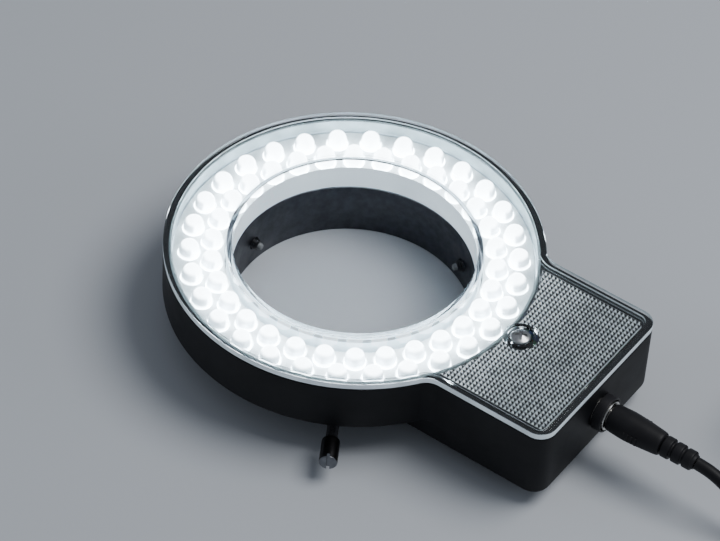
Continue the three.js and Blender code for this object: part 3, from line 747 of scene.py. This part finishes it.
def pitted_sheet(columns, rows, pitch, land, depth, thickness):
    """A sheet with rows of pyramid pits in its top, which is at z 0. Its corner is at 0, 0."""
    vertices, faces = [], []
    opening = 1 - land

    def point(x, y, z):
        vertices.append((x * pitch, y * pitch, z))
        return len(vertices) - 1

    top = [[point(x, y, 0) for y in range(rows + 1)] for x in range(columns + 1)]
    base = [[point(x, y, -thickness) for y in range(rows + 1)] for x in range(columns + 1)]
    for x in range(columns):
        for y in range(rows):
            around = [(x, y), (x + 1, y), (x + 1, y + 1), (x, y + 1)]
            rim = [top[i][j] for i, j in around]
            middle_x, middle_y = x + 0.5, y + 0.5
            mouth = [point(middle_x + (i - middle_x) * opening,
                           middle_y + (j - middle_y) * opening, 0)
                     for i, j in around]
            apex = point(middle_x, middle_y, -depth)
            for index in range(4):
                after = (index + 1) % 4
                faces.append((rim[index], rim[after], mouth[after], mouth[index]))
                faces.append((mouth[index], mouth[after], apex))
            faces.append(tuple(base[i][j] for i, j in reversed(around)))
    for x in range(columns):
        faces.append((base[x][0], base[x + 1][0], top[x + 1][0], top[x][0]))
        faces.append((top[x][rows], top[x + 1][rows], base[x + 1][rows], base[x][rows]))
    for y in range(rows):
        faces.append((top[0][y], top[0][y + 1], base[0][y + 1], base[0][y]))
        faces.append((base[columns][y], base[columns][y + 1],
                      top[columns][y + 1], top[columns][y]))
    return Shape(vertices, faces)


def make_texture_panel():
    """Rows of small pyramid pits moulded under the plate over the box."""
    columns, rows, pitch = 27, 39, 1.15
    end_x, inset = 71.4, 2.75
    top = COVER_TOP_Z - 1.55
    sheet = pitted_sheet(columns, rows, pitch, land=0.16, depth=0.42, thickness=0.7)
    low, high = top - 2, top + 2
    mesh = combined(
        "texture", sheet.at(end_x - columns * pitch, -rows * pitch / 2, top),
        ("INTERSECT", stacked(light_outline, [(inset, low), (inset, high)])),
        ("DIFFERENCE", rod(LAMP_ZONE_RADIUS, low, high, OUTLINE_SEGMENTS)),
        ("DIFFERENCE", rod(SCREW_WELL_RADIUS + 0.2, low, high).at(COVER_SCREW_X, 0, 0)),
    )
    panel = piece("texture_panel", "cover_clear", mesh)
    # The panel's finish carries painted glints, painted shade and a painted glow of the LEDs'
    # light.
    panel.data.materials[0] = materials["cover_texture"]


def make_zone_rib():
    """The pale round rib between the LEDs and the tray's wall or the texture."""
    inner, outer = 45.9, 46.6
    bottom, top = 20.8, 24.1
    rib = tube(inner, outer, bottom, top, 0.15, RING_SEGMENTS)
    rib_piece = piece("zone_rib", "cover_clear", rib)
    rib_piece.data.materials[0] = materials["rib_grey"]


# ------------------------------------------------------------------ LEDs

def make_leds():
    """Two staggered rows of separate round LEDs, leaning towards the ring's axis."""
    dome = arc(0, LED_SHOULDER_Z, LED_RADIUS, 0, math.pi / 2, 10)
    profile = [(LED_FLANGE_RADIUS, 0), (LED_FLANGE_RADIUS, 0.9), (LED_RADIUS, 1.1), *dome]
    shape = turned(profile, 28)
    mesh = bpy.data.meshes.new("led")
    mesh.from_pydata([vertex * MM for vertex in shape.vertices], [], shape.faces)
    mesh.materials.append(materials["led_resin"])
    mesh.shade_smooth()
    mesh.set_sharp_from_angle(angle=SMOOTH_ANGLE)
    for row, radius, first in LED_ROWS:
        for index in range(LED_COUNT):
            angle = 2 * math.pi * (index + first) / LED_COUNT
            led = bpy.data.objects.new(f"led_{row}_{index + 1}", mesh)
            foot = (radius * math.cos(angle), radius * math.sin(angle), LED_FOOT_Z)
            led.matrix_world = (Matrix.Translation(to_frame(foot))
                                @ Matrix.Rotation(angle, 4, "Z")
                                @ Matrix.Rotation(-LED_TILT, 4, "Y"))
            bpy.context.scene.collection.objects.link(led)
            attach(led, "root")
            if index == 0:
                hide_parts(f"led_row_{row}")


def make_led_board():
    """The white board, and the white ring with a dished seat round each LED."""
    radii = (BOARD_INNER_RADIUS, BOARD_OUTER_RADIUS)
    board = tube(*radii, board_low.z, board_high.z, 0.1, RING_SEGMENTS)
    piece("white_led_board", "board_white", board, stands_for=["led_board"])
    holder_low, holder_high = place_of("led_holder")
    ring = tube(*radii, holder_low.z, holder_high.z, 0.3, RING_SEGMENTS)
    hole_radius, dish_radius = 2.75, 3.05
    hole = turned([(hole_radius, 0), (hole_radius, 4), (dish_radius, 4.35), (dish_radius, 6)], 24)
    holes = Shape()
    for _, radius, first in LED_ROWS:
        for index in range(LED_COUNT):
            angle = 2 * math.pi * (index + first) / LED_COUNT
            holes += hole.moved(Matrix.Rotation(angle, 4, "Z")
                                @ Matrix.Translation((radius, 0, LED_FOOT_Z))
                                @ Matrix.Rotation(-LED_TILT, 4, "Y"))
    mesh = combined("holder", ring, ("DIFFERENCE", holes))
    piece("led_holder_ring", "board_white", mesh, stands_for=["led_holder"])


# ------------------------------------------------------------------ screws

def make_cover_screw():
    """A pan head with a cross recess."""
    seat = COVER_SCREW_SEAT + 0.3
    shank_radius, head_radius = 1.2, 2.6
    shank = [(0.9, 14), (shank_radius, 14.6), (shank_radius, seat)]
    head = rounded([(shank_radius, seat), (head_radius, seat), (head_radius, seat + 0.9),
                    (0.4, seat + 1.75)], 0.5)
    crown = turned(shank + head[1:], 48)
    reach, half = 1.6, 0.4
    recess_floor = seat + 0.5
    arms = [block(-reach, reach, -half, half, recess_floor, seat + 3, 0.1),
            block(-half, half, -reach, reach, recess_floor, seat + 3, 0.1)]
    turn = Matrix.Rotation(math.radians(27), 4, "Z")
    mesh = combined("cover_screw_head", crown.at(COVER_SCREW_X, 0, 0),
                    *[("DIFFERENCE", arm.moved(turn).at(COVER_SCREW_X, 0, 0)) for arm in arms])
    piece("cover_screw_head", "screw_steel", mesh, stands_for=["cover_screw"])


def along_radius(degrees, depth=0.0):
    """Lays +Z along a radius of the ring at the thumb screws' height."""
    return (Matrix.Translation((0, 0, THUMB_SCREW_Z))
            @ Matrix.Rotation(math.radians(degrees), 4, "Z")
            @ Matrix.Rotation(math.pi / 2, 4, "Y")
            @ Matrix.Translation((0, 0, -depth)))


def make_thumb_screws():
    """Slotted black screws through the collar, each with a nylon tip of its own body."""
    for number, (degrees, depth) in enumerate(THUMB_SCREWS, 1):
        lay = along_radius(degrees, depth)
        neck_radius, neck_end, shoulder = 1.35, 49.2, 49.3
        head = turned(rounded([
            (0.6, THUMB_HEAD_START), (neck_radius, THUMB_HEAD_START), (neck_radius, neck_end),
            (THUMB_HEAD_RADIUS, shoulder), (THUMB_HEAD_RADIUS, THUMB_HEAD_END),
            (0.5, THUMB_HEAD_END)], 0.5), 48)
        slot = block(-3, 3, -0.4, 0.4, 55.5, 58, 0.05, 0.02)
        mesh = combined(f"screw_{number}", head.moved(lay), ("DIFFERENCE", slot.moved(lay)))
        screw = piece(f"thumb_screw_head_{number}", "thumb_black", mesh, f"screw_{number}",
                      [f"thumb_screw_{number}"])
        screw.data.materials.append(materials["thumb_end"])
        outwards = lay.to_3x3() @ Vector((0, 0, 1))
        for face in screw.data.polygons:
            if face.normal.dot(outwards) > 0.5:
                face.material_index = 1
        thread = threaded(THREAD_RADIUS, THREAD_PITCH, 33.3, 49)
        piece(f"thumb_screw_thread_{number}", "thumb_black", thread.moved(lay), f"screw_{number}")
        tip = turned([(0.45, 32), (0.75, 32.1), (0.85, 32.4), (0.95, 33)], 32)
        piece(f"nylon_tip_{number}", "nylon_white", tip.moved(lay), f"tip_{number}",
              [f"thumb_screw_tip_{number}"])


# ------------------------------------------------------------------ dimmer

def make_dimmer():
    """The small ribbed knob under the box, on the potentiometer's shaft."""
    ribs, rib_depth = 24, 0.25
    knob_radius, bottom, top = 6.5, 0.6, 4.4
    loops = []
    for inset, z in rounded([(1.5, bottom), (0, bottom), (0, top), (1.5, top)], 0.4, 3):
        loop = []
        for index in range(ribs * 6):
            angle = 2 * math.pi * index / (ribs * 6)
            radius = knob_radius - inset - rib_depth * (0.5 + 0.5 * math.cos(ribs * angle))
            loop.append((radius * math.cos(angle), radius * math.sin(angle), z))
        loops.append(loop)
    mark = block(2, 5.2, -0.3, 0.3, 0.2, 0.85, 0.1, 0.03)
    bore = rod(1.8, 1.5, 6, 32)
    mesh = combined("knob", lofted(loops).at(dimmer.x, dimmer.y, 0),
                    ("DIFFERENCE", mark.at(dimmer.x, dimmer.y, 0)),
                    ("DIFFERENCE", bore.at(dimmer.x, dimmer.y, 0)))
    piece("dimmer_knob_ribbed", "knob_black", mesh, "dimmer", ["dimmer_knob"])


# ------------------------------------------------------------------ socket, plug and lead

def make_socket():
    """The low-voltage socket in the box's end wall, its nut and its centre pin."""
    back, shoulder, end = 60, 71.9, 77.6
    body_radius, neck_radius = 5, 3.9
    neck = turned(rounded([(2, back), (body_radius, back), (body_radius, shoulder),
                           (neck_radius, shoulder), (neck_radius, end), (3, end)], 0.2, 3), 64)
    bore = rod(SOCKET_BORE_RADIUS, 66, 79)
    mesh = combined("socket", neck.moved(ALONG_SOCKET), ("DIFFERENCE", bore.moved(ALONG_SOCKET)))
    piece("socket_body", "jack_nickel", mesh, stands_for=["jack_body"])
    nut = tube(4.2, 4.75, 74.5, 77.3, 0.3, 64).moved(ALONG_SOCKET)
    piece("socket_nut", "knob_black", nut, stands_for=["jack_nut"])
    pin = turned([(1.05, 63.3), (1.05, 75.6), (0.75, 76.1)], 24).moved(ALONG_SOCKET)
    piece("socket_pin", "jack_nickel", pin, stands_for=["jack_pin"])


def make_plug():
    """The lead's moulded plug, its barrel in the socket, and its ribbed strain relief."""
    barrel_bore, barrel_radius = 1.35, 2.75
    barrel = tube(barrel_bore, barrel_radius, 67.5, 79.6, 0.1).moved(ALONG_SOCKET)
    plug_barrel = piece("plug_barrel_nickel", "jack_nickel", barrel, stands_for=["plug_barrel"])
    profile = rounded([(3.06, 77.9), (3.55, 77.9), (3.85, 82.9), (3.6, 87), (3.1, 92.3),
                       (2.6, 92.6)], 1.2, 5)
    grips = Shape()
    for side in (0, math.pi):
        for index in range(4):
            bar = block(-1.2, 1.2, 3.5, 3.86, 83.2 + index * 1.1, 83.7 + index * 1.1, 0.1, 0.05)
            grips += bar.moved(Matrix.Rotation(side + math.pi / 2, 4, "Z"))
    body = combined("plug", turned(profile, 64).moved(ALONG_SOCKET),
                    ("DIFFERENCE", rod(SOCKET_BORE_RADIUS, 76, 79.9).moved(ALONG_SOCKET)))
    plug_body = piece("plug_moulding", "lead_pvc", body, stands_for=["plug_body"])
    plug_grips = piece("plug_grips", "lead_pvc", grips.moved(ALONG_SOCKET))
    start, neck, pitch = 92.9, 2.1, 3.03
    ribs = []
    for index in range(3):
        radius = 2.78 - index * 0.12
        z = start + index * pitch
        ribs += [(neck, z), (radius, z + 0.15),
                 (radius, z + pitch - 0.75), (neck, z + pitch - 0.6)]
    relief = rounded([(neck - 0.3, start - 0.3), *ribs, (1.8, 102)], 0.3, 4)
    strain = piece("ribbed_relief", "lead_pvc", turned(relief, 48).moved(ALONG_SOCKET),
                   stands_for=["strain_relief"])
    return [plug_barrel, plug_body, plug_grips, strain]


def coil_points():
    """Turns side by side and in layers, each crossing to the next place near one angle."""
    places = []
    for layer in range(COIL_LAYERS):
        columns = range(COIL_COLUMNS)
        if layer % 2 == 0:
            columns = reversed(columns)
        places += [(COIL_RADIUS + (column - 1) * CORD_DIAMETER, layer) for column in columns]
    start = math.radians(-135)
    window = math.radians(20)
    steps = 36
    points = []
    for turn, (radius, layer) in enumerate(places):
        last = turn == len(places) - 1
        next_radius, next_layer = (radius, layer) if last else places[turn + 1]
        crossing = -window if next_layer != layer else -2.3 * window
        for step in range(steps):
            angle = 2 * math.pi * step / steps
            if last and angle > math.radians(135):
                break
            share = (angle - 2 * math.pi - crossing) / window
            share = min(max(share, 0), 1)
            share = share * share * (3 - 2 * share)
            distance = radius + (next_radius - radius) * share
            height = CORD_DIAMETER * (0.5 + layer + (next_layer - layer) * share)
            points.append((coil_centre.x + distance * math.cos(start + angle),
                           coil_centre.y + distance * math.sin(start + angle), height))
    return points


NEAR_ROUTE = [
    (102.3, 0, 14.8), (106, 0, 14.4), (110, -0.1, 13.1), (114.5, -0.4, 10.6),
    (119, -1, 7.4), (123.5, -2.2, 4.5), (128, -4, 2.4), (132.5, -6.2, 1.65),
    (137, -8.8, 1.65), (141.5, -11.9, 1.65), (146.5, -15.6, 1.65),
]
FAR_ROUTE = [
    (191.3, 9.5, 10.6), (192.1, 15, 8.2), (192.6, 21, 5), (192.7, 27, 2.8),
    (192.3, 33, 1.9), (190.9, 39, 2), (187.8, 44, 3.2), (183.4, 47.3, 5.2), (178.8, 48, 6),
    (173, 48, 6), (167.3, 48, 6),
]


def make_lead(plug_pieces):
    """One and a half metres of round cable, wound up beyond the view, to its adapter."""
    line = smooth_line(NEAR_ROUTE + coil_points() + FAR_ROUTE, 3)
    curve = bpy.data.curves.new("lead", "CURVE")
    curve.dimensions = "3D"
    curve.bevel_depth = CORD_DIAMETER / 2 * MM
    curve.bevel_resolution = 4
    curve.use_fill_caps = True
    spline = curve.splines.new("POLY")
    spline.points.add(len(line) - 1)
    for point, place in zip(spline.points, line):
        point.co = (*to_frame(place), 1)
    curve.materials.append(materials["lead_pvc"])
    lead = bpy.data.objects.new("lead", curve)
    bpy.context.scene.collection.objects.link(lead)
    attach(lead, "root")
    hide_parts("lead_cord_near", "lead_coil", "lead_cord_far")
    others = make_adapter() + [make_tie()]


def make_tie():
    """A plain strap round the coil's turns."""
    angle = math.radians(200)
    width = 4.5
    thickness = 0.45
    reach = CORD_DIAMETER * COIL_COLUMNS / 2
    height = CORD_DIAMETER * COIL_LAYERS

    def loop(offset, y):
        corner = 1.5 + offset
        x0, x1 = COIL_RADIUS - reach, COIL_RADIUS + reach
        z0, z1 = thickness - offset, height + offset
        quarter = math.pi / 2
        return [(x, y, z) for cx, cz, turn in (
            (x1 + offset - corner, z0 + corner, -1), (x1 + offset - corner, z1 - corner, 0),
            (x0 - offset + corner, z1 - corner, 1), (x0 - offset + corner, z0 + corner, 2))
            for x, z in arc(cx, cz, corner, turn * quarter, (turn + 1) * quarter, 6)]

    shape = lofted([loop(0, width / 2), loop(thickness, width / 2),
                    loop(thickness, -width / 2), loop(0, -width / 2)], closed=True)
    turned_shape = shape.moved(Matrix.Rotation(angle, 4, "Z"))
    return piece("coil_tie", "knob_black", turned_shape.at(coil_centre.x, coil_centre.y, 0))


def make_adapter():
    """The plug-in supply lying on its back with its blades up."""
    base_low, base_high = place_of("adapter_base")
    top_low, top_high = place_of("adapter_top")
    sides = (base_low.x, base_high.x, base_low.y, base_high.y)
    base = block(*sides, base_low.z, base_high.z, 5, 1)
    cap = block(*sides, top_low.z, top_high.z, 5, 1)
    made = [piece("adapter_lower_half", "adapter_black", base, stands_for=["adapter_base"]),
            piece("adapter_upper_half", "adapter_black", cap, stands_for=["adapter_top"])]
    for number in (1, 2):
        low, high = place_of(f"adapter_blade_{number}")
        blade = block(low.x, high.x, low.y, high.y, low.z, high.z, 0.5, 0.4)
        middle = (low + high) / 2
        hole = rod(1.6, -3, 3, 32).moved(upright_to((1, 0, 0)))
        mesh = combined(f"blade_{number}", blade,
                        ("DIFFERENCE", hole.at(middle.x, middle.y, high.z - 4)))
        made.append(piece(f"blade_{number}", "blade_brass", mesh,
                          stands_for=[f"adapter_blade_{number}"]))
    relief_low, relief_high = place_of("adapter_relief")
    length = relief_high.x - relief_low.x
    ribs = [(3.2, 0), (3.4, 0.4)]
    for index in range(4):
        z = 1.2 + index * length / 4.6
        radius = 3.3 - index * 0.3
        ribs += [(radius, z), (radius - 0.1, z + 1.3),
                 (radius - 0.7, z + 1.5), (radius - 0.75, z + 2)]
    relief = turned(rounded([*ribs, (2.2, length)], 0.2, 3), 40)
    middle = (relief_low + relief_high) / 2
    laid = relief.moved(upright_to((1, 0, 0))).at(relief_low.x, middle.y, middle.z)
    made.append(piece("adapter_strain_relief", "lead_pvc", laid, stands_for=["adapter_relief"]))
    return made


# ------------------------------------------------------------------ start

make_camera()
make_lights()
make_floor()
materials = make_materials()
make_housing()
make_collar()
make_cover()
make_texture_panel()
make_zone_rib()
make_led_board()
make_leds()
make_cover_screw()
make_thumb_screws()
make_dimmer()
make_socket()
make_lead(make_plug())
